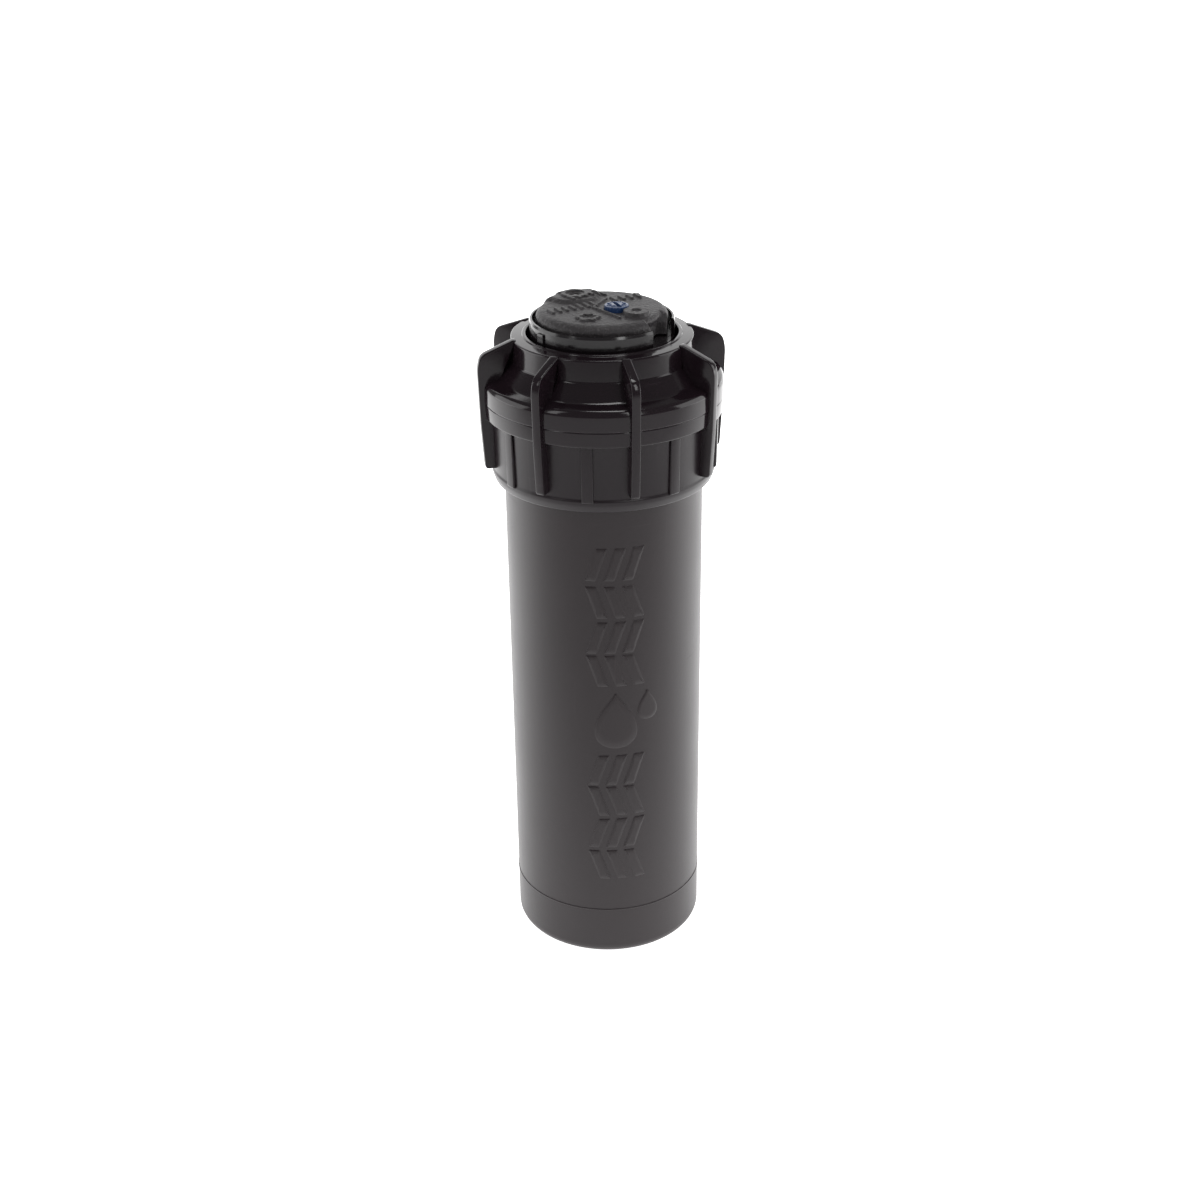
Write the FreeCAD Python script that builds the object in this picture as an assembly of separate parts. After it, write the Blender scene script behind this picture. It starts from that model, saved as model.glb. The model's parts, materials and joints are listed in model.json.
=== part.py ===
"""Pop-up rotor sprinkler: a threaded case with a ribbed screw cap, a sprung riser that slides up through a
wiper seal, and a rotating nozzle turret driven by a water turbine through a two-shaft gear train.

Frame: +Z up, origin at the centre of the case's base, millimetres. "Front" is -Y, and an angle given here
turns from the front towards +X.
"""
import FreeCAD, Part
import math
import os

V = FreeCAD.Vector
UP = V(0, 0, 1)
ORIGIN = V(0, 0, 0)

# ---- driving dimensions -------------------------------------------------------------------------------
CASE_R = 26.85            # outside radius of the case
CASE_BASE_R = 26.75       # the same at the base, for mould draft
CASE_WALL = 2.45
CASE_TOP_Z = 166.0
BASE_ROUND = 3.0
FLOOR_Z = 21.5            # inside floor of the case
INLET_R = 12.1            # crest radius of the 3/4 inch female pipe thread
INLET_DEPTH = 17.0
SPLINES = 8               # guide ribs in the case bore
SPLINE_R = 23.5

CAP_Z = 140.5             # lower edge of the cap
CAP_TOP_Z = 180.0
CAP_HOLE_R = 20.1
CAP_NECK_R = 24.2
BAND_R = 32.2
BAND_Z = 159.0            # lower edge of the cap's thick band
SKIRT_R = 30.3
FINS = 8
FIN_R = 33.8
FIN_ANGLE = 14.3          # the first fin, from the front
FIN_WIDTH = 2.35
THREAD_PITCH = 3.4
THREAD_TURNS = 5
THREAD_Z = 146.0
THREAD_CREST_R = 27.8
THREAD_ROOT_R = 26.4

STEM_R = 17.2             # riser tube and turret barrel
STEM_BORE_R = 15.0
STEM_Z = 34.0
STEM_TOP_Z = 148.6
TURRET_Z = 149.0
FLANGE_R = 19.05          # turret's rim, above the cap
FLANGE_TOP_Z = 183.9
COVER_R = 17.3
COVER_TOP_Z = 186.3
NOZZLE_ANGLE = 60.0
NOZZLE_RISE = 25.0        # the jet's angle above level
NOZZLE_R = 5.0
NOZZLE_Z = 167.0          # where the nozzle's axis meets the barrel
RADIUS_SCREW_AT = 10.9    # its distance from the axis
RADIUS_SCREW_ANGLE = 54.5
PORT_ANGLE = 62.0         # the opening in the rim in front of the nozzle
PORT_WIDTH = 12.5
ARC_SCREW_ANGLE = 60.0
FIT = 0.15                # general clearance between moving pieces

GEAR_WIDTH = 3.0
GEAR_MODULE = 0.4
GEAR_TEETH = 24
PINION_TEETH = 8
SHAFT_GAP = GEAR_MODULE * (GEAR_TEETH + PINION_TEETH) / 2
OUTPUT_TEETH = 24
OUTPUT_MODULE = SHAFT_GAP * 2 / (OUTPUT_TEETH - PINION_TEETH)
ARC_RING_TEETH = 30
ARC_SCREW_AT = GEAR_MODULE * (ARC_RING_TEETH - PINION_TEETH) / 2
PIN_R = 0.6

parts = {}


# ---- shapes -------------------------------------------------------------------------------------------
def turn(shape, angle):
    """Turns a shape built at the front to an angle from the front."""
    moved = shape.copy()
    moved.rotate(ORIGIN, UP, angle)
    return moved


def at(radius, angle, z=0.0):
    """The point at a radius and an angle from the front."""
    a = math.radians(angle)
    return V(radius * math.sin(a), -radius * math.cos(a), z)


def cylinder(radius, low, high, centre=ORIGIN):
    """A vertical cylinder between two heights."""
    return Part.makeCylinder(radius, high - low, V(centre.x, centre.y, low))


def ring(outer, inner, low, high, centre=ORIGIN):
    """A flat ring between two heights."""
    return cylinder(outer, low, high, centre).cut(cylinder(inner, low - 1, high + 1, centre))


def revolve(points):
    """A solid of revolution about Z from a closed outline of (radius, height) points."""
    outline = [V(r, 0, z) for r, z in points]
    face = Part.Face(Part.makePolygon(outline + outline[:1]))
    return face.revolve(ORIGIN, UP, 360)


def front_block(width, inner, outer, low, high):
    """A block at the front that runs from one radius to another."""
    return Part.makeBox(width, outer - inner, high - low, V(-width / 2, -outer, low))


def spread(shape, count, first=0.0):
    """Copies of a shape at equal angles."""
    return [turn(shape, first + 360 * k / count) for k in range(count)]


def join(shape, others):
    """One solid from a shape and the pieces that grow out of it."""
    return shape.fuse(others).removeSplitter()


def prism(points, low, high):
    """An upright prism on a closed outline of (x, y) points."""
    outline = [V(x, y, low) for x, y in points]
    return Part.Face(Part.makePolygon(outline + outline[:1])).extrude(V(0, 0, high - low))


def coil(radius, wire, low, high, turns):
    """A helical spring that fills the space between two heights."""
    path = Part.makeHelix((high - low - wire) / turns, high - low - wire, radius)
    path.translate(V(0, 0, low + wire / 2))
    section = Part.Wire([Part.makeCircle(wire / 2, V(radius, 0, low + wire / 2), V(0, 1, 0))])
    return Part.Wire(path.Edges).makePipeShell([section], True, True)


def gear_outline(teeth, module, tip, root, width, phase):
    """Points of a straight-flanked gear outline. Width is a tooth's share of the pitch at the pitch circle."""
    pitch_r = teeth * module / 2
    step = 2 * math.pi / teeth
    half = width * step / 2
    lean = math.tan(math.radians(22)) * module / pitch_r
    points = []
    for k in range(teeth):
        centre = phase + k * step
        for radius, side in ((root, -half - lean), (tip, -half + lean * 0.8),
                             (tip, half - lean * 0.8), (root, half + lean)):
            points.append((radius * math.cos(centre + side), radius * math.sin(centre + side)))
    return points


def outer_gear(teeth, module, low, high, phase, centre, addendum=0.75):
    """An external spur gear with one tooth's centre at phase, in radians from +X."""
    pitch_r = teeth * module / 2
    points = gear_outline(teeth, module, pitch_r + addendum * module, pitch_r - module, 0.42, phase)
    return prism([(x + centre.x, y + centre.y) for x, y in points], low, high)


def inner_gear_cut(teeth, module, low, high, phase):
    """The space that an internal gear's teeth leave, with one gap's centre at phase."""
    pitch_r = teeth * module / 2
    return prism(gear_outline(teeth, module, pitch_r + module, pitch_r - 0.75 * module, 0.60, phase), low, high)


def export(name, shape):
    """Keeps a node's solids for the STEP files."""
    assert shape.isValid(), name
    parts[name] = shape


# ---- case -----------------------------------------------------------------------------------------------
def case_body():
    """Tube with a threaded neck, an inlet boss bored to the pipe thread's crests, and guide ribs in its bore."""
    corner = [(CASE_BASE_R - BASE_ROUND * (1 - math.sin(a)), BASE_ROUND * (1 - math.cos(a)))
              for a in (math.radians(d) for d in range(0, 91, 15))]
    outline = [(0, 0)] + corner + [(CASE_R, 142.5), (THREAD_ROOT_R, 143.2)]
    for k in range(THREAD_TURNS):
        z = THREAD_Z + k * THREAD_PITCH
        outline += [(THREAD_ROOT_R, z), (THREAD_CREST_R, z + 0.9), (THREAD_CREST_R, z + 1.3), (THREAD_ROOT_R, z + 2.2)]
    outline += [(THREAD_ROOT_R, CASE_TOP_Z), (0, CASE_TOP_Z)]
    bore_r = CASE_R - CASE_WALL
    boss_r, recess_r, seat_r = 16.2, 23.0, 9.5
    body = revolve(outline)
    recess = ring(recess_r, boss_r, -1, INLET_DEPTH)
    body = body.cut([cylinder(bore_r, FLOOR_Z, CASE_TOP_Z + 1), cylinder(seat_r, -1, FLOOR_Z + 1), recess])
    body = body.cut(cylinder(INLET_R, -1, INLET_DEPTH))
    webs = spread(front_block(1.8, boss_r - 0.5, recess_r + 0.5, 2.0, INLET_DEPTH + 0.5), 8, 22.5)
    splines = spread(front_block(1.4, SPLINE_R, bore_r + 0.5, FLOOR_Z - 0.5, 160.0), SPLINES)
    return join(body, webs + splines)


def case_cap():
    """Screw cap: gloss ring on a neck, sloping shoulder, thick band, and a skirt with grip fins."""
    outline = [(CAP_HOLE_R, 172.0), (CAP_HOLE_R, 179.5), (CAP_HOLE_R + 1.0, 179.85), (CAP_HOLE_R + 1.5, CAP_TOP_Z),
               (CAP_NECK_R - 0.6, CAP_TOP_Z), (CAP_NECK_R - 0.15, 179.8), (CAP_NECK_R, 179.3), (24.45, 174.0),
               (24.7, 173.5), (28.0, 169.9), (28.7, 169.5), (31.4, 168.75), (BAND_R - 0.15, 168.1), (BAND_R, 167.2),
               (BAND_R + 0.1, 163.3), (BAND_R - 0.2, 163.1), (BAND_R - 0.05, 162.9), (BAND_R - 0.1, BAND_Z + 0.3),
               (BAND_R - 0.4, BAND_Z), (SKIRT_R, BAND_Z), (SKIRT_R - 0.4, 144.0), (SKIRT_R - 0.2, 143.4),
               (SKIRT_R - 0.2, 142.9), (29.5, 140.8), (29.2, CAP_Z), (27.3, CAP_Z), (27.3, 143.6), (28.3, 144.6)]
    for k in range(THREAD_TURNS - 1):
        z = THREAD_Z + k * THREAD_PITCH
        outline += [(28.3, z + 2.3), (27.1, z + 2.65), (27.1, z + 2.95), (28.3, z + 3.3)]
    outline += [(28.3, 166.6), (27.3, 167.6), (21.2, 167.6)]
    cap = revolve(outline)
    half = FIN_WIDTH / 2
    fin = [(23.4, 179.5), (24.0, 179.4), (31.6, 176.5), (32.7, 175.8), (33.4, 174.8), (FIN_R - 0.1, 173.6),
           (FIN_R, 172.2), (FIN_R - 0.5, 158.0), (FIN_R - 1.2, 145.4), (FIN_R - 1.6, 144.9), (29.6, 144.9),
           (29.6, 165.0), (23.4, 170.0)]
    face = Part.Face(Part.makePolygon([V(-half, -r, z) for r, z in fin + fin[:1]]))
    fins = spread(face.extrude(V(FIN_WIDTH, 0, 0)), FINS, FIN_ANGLE)
    low_ribs = spread(front_block(3.1, 29.3, 30.8, 143.3, BAND_Z + 0.5), FINS, FIN_ANGLE + 180 / FINS)
    return join(cap, fins + low_ribs)


def wiper_seal():
    """Rubber wiper: a flange clamped between the cap and the case's rim, and a lip round the riser."""
    return revolve([(20.0, 166.1), (26.2, 166.1), (26.2, 167.5), (21.0, 167.5), (20.2, 168.6), (19.6, 171.2),
                    (18.2, 173.0), (17.5, 172.8), (17.5, 171.8), (18.4, 170.2), (18.9, 167.6)])


# ---- riser ----------------------------------------------------------------------------------------------
def ratchet_ring():
    """Guide ring that slides on the case's ribs, with click teeth under it."""
    notch = spread(front_block(2.0, SPLINE_R - 0.4, 26, 30, 50), SPLINES)
    body = ring(24.1, STEM_R + 0.4, 38.8, 44.5).cut(notch)
    teeth = spread(front_block(1.2, 19.0, 22.3, 38.1, 39.0), 24)
    return join(body, teeth)


def riser_stem():
    """Riser tube with a clicking flange at its foot and a groove for the clip."""
    tube = ring(STEM_R, STEM_BORE_R, STEM_Z, STEM_TOP_Z).cut(ring(20, 16.6, 44.75, 45.85))
    flange = ring(22.5, STEM_BORE_R, STEM_Z, 37.2)
    teeth = spread(front_block(1.2, 19.0, 22.3, 37.0, 37.9), 24)
    return join(tube, [flange] + teeth)


def clip_ring():
    """Split clip that keeps the ratchet ring on the stem."""
    return ring(19.3, 16.7, 44.8, 45.8).cut(front_block(4, 10, 30, 40, 50))


def inlet_screen():
    """Filter basket that hangs in the riser's foot."""
    basket = revolve([(0, 24), (12.6, 24), (13.4, 24.8), (13.8, 46.0), (14.9, 46.4), (14.9, 49.4), (12.8, 49.4),
                      (12.5, 46.0), (12.1, 25.6), (0, 25.6)])
    slot = front_block(1.3, 11.0, 15.0, 27.0, 44.5)
    return basket.cut(spread(slot, 20))


def bypass_poppet(place):
    """Mushroom valve that lifts to pass spare water round the turbine."""
    stem = cylinder(0.8, 44.2, 54.6, place)
    head = cylinder(3.1, 54.2, 55.4, place)
    keeper = cylinder(3.4, 43.4, 44.3, place)
    return join(stem, [head, keeper])


def stator_plate(bypass_at):
    """Plate with slanted jet slots under the turbine, a shaft bearing and the bypass port."""
    plate = cylinder(14.9, 50.0, 54.0)
    slot = Part.makeBox(1.6, 3.6, 12, V(-0.8, -13.4, 46))
    slot.rotate(V(0, -11.6, 52), V(0, 1, 0), 35)
    port = cylinder(2.3, 49, 55, bypass_at)
    body = plate.cut(spread(slot, 12, 15) + [port, cylinder(0.7, 51.4, 55)])
    guide = ring(1.2, 0.95, 50.4, 51.8, bypass_at)
    arms = [Part.makeBox(1.5, 0.6, 1.4, V(bypass_at.x + side, bypass_at.y - 0.3, 50.4)) for side in (-2.55, 1.05)]
    return join(body, [guide] + arms)


def turbine_wheel():
    """Bladed wheel that the jets push round."""
    hub = ring(3.6, PIN_R, 58.8, 66.4)
    disc = ring(8.2, PIN_R, 58.8, 60.4)
    blade = Part.makeBox(0.9, 9.6, 5.2, V(-0.45, -12.6, 59.6))
    blade.rotate(V(0, -8, 62), V(0, 1, 0), 28)
    blade = blade.common(ring(12.6, 3.2, 59.0, 65.6))
    return join(hub, [disc] + spread(blade, 14))


def gear_pair(low_gear, low_pinion, top_pinion, centre, away, output=False):
    """Compound gear that turns freely on its pin: a wheel, and the pinion that drives the next wheel."""
    toward = math.pi / 2 if away else -math.pi / 2
    wheel = outer_gear(GEAR_TEETH, GEAR_MODULE, low_gear, low_gear + GEAR_WIDTH, toward + math.pi / GEAR_TEETH, centre)
    module = OUTPUT_MODULE if output else GEAR_MODULE
    pinion = outer_gear(PINION_TEETH, module, low_pinion, top_pinion, toward, centre)
    return join(wheel, [pinion]).cut(cylinder(PIN_R + 0.05, low_gear - 1, top_pinion + 1, centre))


def gearbox_case():
    """Cup round the gear train, with fins that centre it in the riser and leave the water a way past."""
    cup = cylinder(12.8, 69.0, 104.5).cut([cylinder(11.8, 71.0, 105), cylinder(PIN_R + 0.1, 68, 72)])
    cup = cup.cut(cylinder(PIN_R, 69.6, 72, V(0, SHAFT_GAP, 0)))
    fins = spread(front_block(1.4, 12.5, 14.9, 70.0, 104.5), 4, 45)
    return join(cup, fins)


def gearbox_lid(trip_angle):
    """Lid with the output shaft's bearing and a fork for the trip shaft."""
    lid = cylinder(12.8, 104.6, 107.0)
    boss = cylinder(4.0, 106.5, 111.0)
    ear = turn(front_block(4.4, 12.0, 14.5, 104.6, 107.0), trip_angle)
    cuts = [cylinder(1.8 + 0.05, 100, 112), turn(front_block(1.8, 12.6, 16, 104, 108), trip_angle)]
    return join(lid, [boss, ear]).cut(cuts)


def bearing_plate():
    """Plate inside the gearbox that holds the turbine shaft's upper end."""
    hole = cylinder(4.1, 92, 94, V(0, SHAFT_GAP, 0))
    return cylinder(11.7, 92.5, 93.4).cut([hole, cylinder(PIN_R + 0.02, 92, 94)])


def trip_lever(pivot, angle):
    """Arm on the trip shaft whose finger the turret's tabs push."""
    arm = turn(front_block(2.2, 9.4, 13.4, 127.0, 129.4), angle)
    finger = turn(front_block(1.8, 10.2, 11.8, 129.0, 138.6), angle)
    sleeve = cylinder(0.95, 127.0, 129.4, pivot)
    return join(arm, [finger, sleeve]).cut(cylinder(0.7, 126, 130, pivot))


def reversing_flap(pivot, angle):
    """Flap on the trip shaft's foot that covers one set of jets or the other."""
    blade = turn(front_block(5.0, 8.2, 13.2, 56.2, 57.2), angle)
    sleeve = cylinder(0.95, 56.2, 57.8, pivot)
    return join(blade, [sleeve]).cut(cylinder(0.7, 55, 59, pivot))


# ---- turret ---------------------------------------------------------------------------------------------
def nozzle_axis():
    """A point on the nozzle's axis at the barrel's wall, and its outward direction."""
    rise, side = math.radians(NOZZLE_RISE), at(1, NOZZLE_ANGLE)
    return at(STEM_R, NOZZLE_ANGLE, NOZZLE_Z), V(side.x * math.cos(rise), side.y * math.cos(rise), math.sin(rise))


def along_nozzle(radius, start, end):
    """A cylinder on the nozzle's axis, between two distances from the barrel's wall."""
    point, axis = nozzle_axis()
    return Part.makeCylinder(radius, end - start, point + axis * start, axis)


def nozzle_housing(arc_at, screw_at):
    """Turret barrel: water chamber, slanted nozzle socket, screw holes, tabs and the rim round the cover."""
    barrel = revolve([(0, 148.0), (6.6, 148.0), (6.6, TURRET_Z), (STEM_R, TURRET_Z), (STEM_R, 174.6),
                      (FLANGE_R, 176.8), (FLANGE_R + 0.05, 183.2), (FLANGE_R - 0.2, FLANGE_TOP_Z),
                      (FLANGE_R - 0.7, FLANGE_TOP_Z), (FLANGE_R - 0.9, 183.2), (FLANGE_R - 0.9, 179.5), (0, 179.5)])
    spigot = ring(14.7, 13.4, 143.0, TURRET_Z + 0.5).cut(ring(16, 14.0, 145.0, 146.6))
    chamber = ring(13.4, 6.6, 142.9, 163.0)
    pocket = ring(15.4, 6.8, 172.0, 180).cut(turn(front_block(14, 0, 20, 170, 181), NOZZLE_ANGLE))
    fixed_tab = turn(front_block(2.0, 10.3, 13.8, 139.0, 145.0), 200.0)
    lug = turn(front_block(2.4, 18.0, FLANGE_R + 0.5, 176.6, 182.6), -55)
    cuts = [chamber, pocket, along_nozzle(NOZZLE_R, -9.9, 6.0), cylinder(1.8, 147, 156),
            cylinder(1.3, 147, 181, arc_at), cylinder(1.35, 160, 181, screw_at), cylinder(2.25, 176.0, 181, screw_at)]
    notch = turn(front_block(PORT_WIDTH, 17.2, 24, 179.4, 190), PORT_ANGLE)
    return join(join(barrel, [spigot]).cut(cuts), [fixed_tab, lug]).cut(notch)


def nozzle(screw_at):
    """Removable nozzle: a main orifice and a small one under it for close watering."""
    body = along_nozzle(NOZZLE_R - 0.05, -9.5, 1.2)
    trim = cylinder(STEM_R - 0.1, 140, 190)
    point, axis = nozzle_axis()
    low = V(0, 0, -3.1)
    small = Part.makeCylinder(0.8, 20, point + axis * -12 + low, axis)
    throat = Part.makeCone(3.0, 2.1, 7.0, point + axis * -9.6, axis)
    return body.common(trim).cut([along_nozzle(2.1, -12, 4), throat, small, cylinder(1.5, 163.5, 180, screw_at)])


def top_cover(arc_at, screw_at):
    """Rubber cover: a crowned disc with a raised pad over the pull-up socket and a boss over the radius screw."""
    body = revolve([(0, 184.0), (15.8, 184.0), (15.8, 179.7), (17.1, 179.7), (COVER_R, 183.6), (COVER_R - 0.05, 185.2),
                    (16.9, 185.8), (16.2, 186.15), (15.2, COVER_TOP_Z), (0, COVER_TOP_Z)])
    pad_at = at(12.4, -144)
    pad = cylinder(7.6, 184.5, 187.6, pad_at).common(cylinder(COVER_R - 0.1, 180, 190))
    boss = cylinder(3.7, 184.5, 187.4, screw_at)
    holes = [cylinder(3.3, 180, 190, arc_at), cylinder(2.25, 180, 190, screw_at), cylinder(1.6, 180, 190, pad_at),
             turn(front_block(PORT_WIDTH, 14.8, 24, 178, 185.0), PORT_ANGLE)]
    return join(body, [pad, boss]).cut(holes)


def arc_screw(place):
    """Blue adjusting screw: a slotted head in the cover, a long shaft and a pinion in the arc ring."""
    head = cylinder(3.15, 184.6, 187.8, place)
    shaft = cylinder(1.1, 143.4, 185.0, place)
    away = math.atan2(place.y, place.x)
    pinion = outer_gear(PINION_TEETH, GEAR_MODULE, 143.5, 147.6, away, place)
    slot = Part.makeBox(5.0, 1.0, 1.2, V(place.x - 2.5, place.y - 0.5, 187.0))
    return join(head, [shaft, pinion]).cut(slot)


def arc_adjust_ring(place):
    """Internal gear that the arc screw turns, with the movable trip tab."""
    away = math.atan2(place.y, place.x)
    body = cylinder(7.6, 143.5, 147.6).cut(inner_gear_cut(ARC_RING_TEETH, GEAR_MODULE, 143, 148, away))
    arm = turn(front_block(2.0, 7.3, 11.7, 143.5, 146.0), 20)
    tab = turn(front_block(2.0, 10.3, 11.7, 139.0, 146.0), 20)
    return join(body, [arm, tab])


def radius_screw(place):
    """Steel screw that is turned down into the jet."""
    shank = cylinder(1.25, 168.9, 182.5, place)
    head = cylinder(2.0, 182.2, 184.5, place)
    slot = Part.makeBox(4.4, 0.6, 1.0, V(place.x - 2.2, place.y - 0.3, 183.6))
    return join(shank, [head]).cut(slot)


def drive_cup():
    """Inverted cup whose internal teeth the last pinion turns."""
    cup = cylinder(11.4, 94.2, 103.6).cut(cylinder(10.7, 93, 101.2)).cut(cylinder(1.8, 93, 105))
    gap = math.pi / 2
    teeth = cylinder(11.0, 94.2, 100.0).cut(inner_gear_cut(OUTPUT_TEETH, OUTPUT_MODULE, 94, 101, gap))
    return join(cup, [teeth])


# ---- assembly -------------------------------------------------------------------------------------------
def build():
    """Makes every node."""
    bypass_at = at(6.0, 90)
    trip_angle = 0.0
    trip_pivot = at(13.8, trip_angle)
    arc_at = at(ARC_SCREW_AT, ARC_SCREW_ANGLE)
    screw_at = at(RADIUS_SCREW_AT, RADIUS_SCREW_ANGLE)
    shaft_a, shaft_b = ORIGIN, V(0, SHAFT_GAP, 0)

    export("case_body", case_body())
    export("case_cap", case_cap())
    export("wiper_seal", wiper_seal())
    export("spring_retainer", ring(24.2, 18.4, 163.6, 166.05))
    export("retract_spring", coil(20.9, 1.4, 44.6, 163.5, 9))

    export("ratchet_ring", ratchet_ring())
    export("riser_stem", riser_stem())
    export("clip_ring", clip_ring())
    export("inlet_screen", inlet_screen())
    export("stator_plate", stator_plate(bypass_at))
    export("bypass_poppet", bypass_poppet(bypass_at))
    spring = coil(2.9, 0.5, 44.4, 49.9, 4)
    spring.translate(bypass_at)
    export("bypass_spring", spring)

    export("turbine_wheel", turbine_wheel())
    export("turbine_shaft", cylinder(PIN_R, 51.6, 93.3))
    pinion = outer_gear(PINION_TEETH, GEAR_MODULE, 71.4, 76.0, math.pi / 2, shaft_a)
    export("turbine_pinion", pinion.cut(cylinder(PIN_R, 70, 77)))
    export("gearbox_case", gearbox_case())
    export("gearbox_lid", gearbox_lid(trip_angle))
    export("bearing_plate", bearing_plate())
    export("gear_pin", cylinder(PIN_R, 69.7, 100.6, shaft_b))
    starts = (73.0, 78.6, 84.2)
    ends = (82.0, 87.6, 100.0)
    for k, (low, high) in enumerate(zip(starts, ends)):
        on_b = k % 2 == 0
        centre = shaft_b if on_b else shaft_a
        last = k == len(starts) - 1
        export("reduction_gear_%d" % (k + 1), gear_pair(low, low + GEAR_WIDTH, high, centre, not on_b, last))

    export("trip_shaft", cylinder(0.7, 54.3, 132.0, trip_pivot))
    export("trip_lever", trip_lever(trip_pivot, trip_angle))
    export("reversing_flap", reversing_flap(trip_pivot, trip_angle))

    export("nozzle_housing", nozzle_housing(arc_at, screw_at))
    export("nozzle", nozzle(screw_at))
    export("drive_cup", drive_cup())
    export("output_shaft", cylinder(1.8, 101.2, 155.9))
    export("turret_seal", ring(14.85, 14.0, 145.05, 146.55))
    export("thrust_washer", ring(17.0, 15.1, STEM_TOP_Z + 0.05, TURRET_Z - 0.05))
    export("arc_ring_washer", ring(7.4, 1.8, 142.6, 143.3))
    export("top_cover", top_cover(arc_at, screw_at))
    export("arc_adjust_ring", arc_adjust_ring(arc_at))
    export("arc_screw", arc_screw(arc_at))
    export("radius_screw", radius_screw(screw_at))

    os.makedirs("parts", exist_ok=True)
    for name, shape in parts.items():
        shape.exportStep("parts/%s.step" % name)
        print(name, len(shape.Solids), round(shape.Volume, 1))


build()
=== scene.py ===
import json
import logging
import math
from dataclasses import dataclass, field
from enum import Enum
from typing import Optional, Sequence, Union

import bmesh
import bpy
import numpy as np
from mathutils import Matrix, Vector


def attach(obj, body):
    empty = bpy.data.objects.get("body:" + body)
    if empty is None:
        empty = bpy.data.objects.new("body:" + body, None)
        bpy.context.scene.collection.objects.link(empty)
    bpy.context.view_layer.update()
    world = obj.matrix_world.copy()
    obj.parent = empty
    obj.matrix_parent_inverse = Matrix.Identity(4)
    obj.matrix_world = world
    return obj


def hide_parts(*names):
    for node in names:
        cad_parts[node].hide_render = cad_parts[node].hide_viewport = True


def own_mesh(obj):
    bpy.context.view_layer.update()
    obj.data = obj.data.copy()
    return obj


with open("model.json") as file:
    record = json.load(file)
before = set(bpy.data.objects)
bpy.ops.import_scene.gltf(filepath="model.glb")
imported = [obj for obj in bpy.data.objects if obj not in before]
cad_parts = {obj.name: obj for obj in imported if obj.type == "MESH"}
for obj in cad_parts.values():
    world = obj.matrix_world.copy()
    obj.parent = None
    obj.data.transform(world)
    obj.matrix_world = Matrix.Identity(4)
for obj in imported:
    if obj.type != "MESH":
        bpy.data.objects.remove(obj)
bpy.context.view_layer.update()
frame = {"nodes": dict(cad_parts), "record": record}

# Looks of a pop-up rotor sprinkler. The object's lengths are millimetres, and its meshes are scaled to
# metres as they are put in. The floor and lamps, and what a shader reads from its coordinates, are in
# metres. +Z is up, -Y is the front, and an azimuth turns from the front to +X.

LOG = logging.getLogger("sprinkler")
MM = 0.001
Array = np.ndarray
Colour = tuple[float, float, float]
Point = tuple[float, float, float]
Number = Union[float, "Value"]


class Body(str, Enum):
    """The moving groups that pieces ride on."""

    CASE = "case"
    RISER = "riser"
    TURRET = "turret"
    ARC_KNOB = "arc_knob"


# ---- shader graphs --------------------------------------------------------------------------------------


class Value:
    """A shader socket that can be used in Python sums and products."""

    def __init__(self, graph: "Graph", socket: bpy.types.NodeSocket) -> None:
        """Wraps a socket.

        Args:
            graph: the graph that the socket is in.
            socket: an output socket.
        """
        self.graph = graph
        self.socket = socket

    def _math(self, operation: str, first: Number, second: Number) -> "Value":
        """One Math node. Args: its operation and two operands. Returns: its output."""
        return self.graph.node("ShaderNodeMath", {"operation": operation}, {0: first, 1: second})

    def __add__(self, other: Number) -> "Value":
        """Sum."""
        return self._math("ADD", self, other)

    __radd__ = __add__

    def __sub__(self, other: Number) -> "Value":
        """Difference."""
        return self._math("SUBTRACT", self, other)

    def __rsub__(self, other: Number) -> "Value":
        """Difference, the other way round."""
        return self._math("SUBTRACT", other, self)

    def __mul__(self, other: Number) -> "Value":
        """Product."""
        return self._math("MULTIPLY", self, other)

    __rmul__ = __mul__

    def ramp(self, low: float, high: float) -> "Value":
        """A smooth step from 0 at low to 1 at high. Args: low, high. Returns: the stepped value."""
        inputs = {"Value": self, "From Min": low, "From Max": high}
        return self.graph.node("ShaderNodeMapRange", {"interpolation_type": "SMOOTHSTEP"}, inputs)


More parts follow.
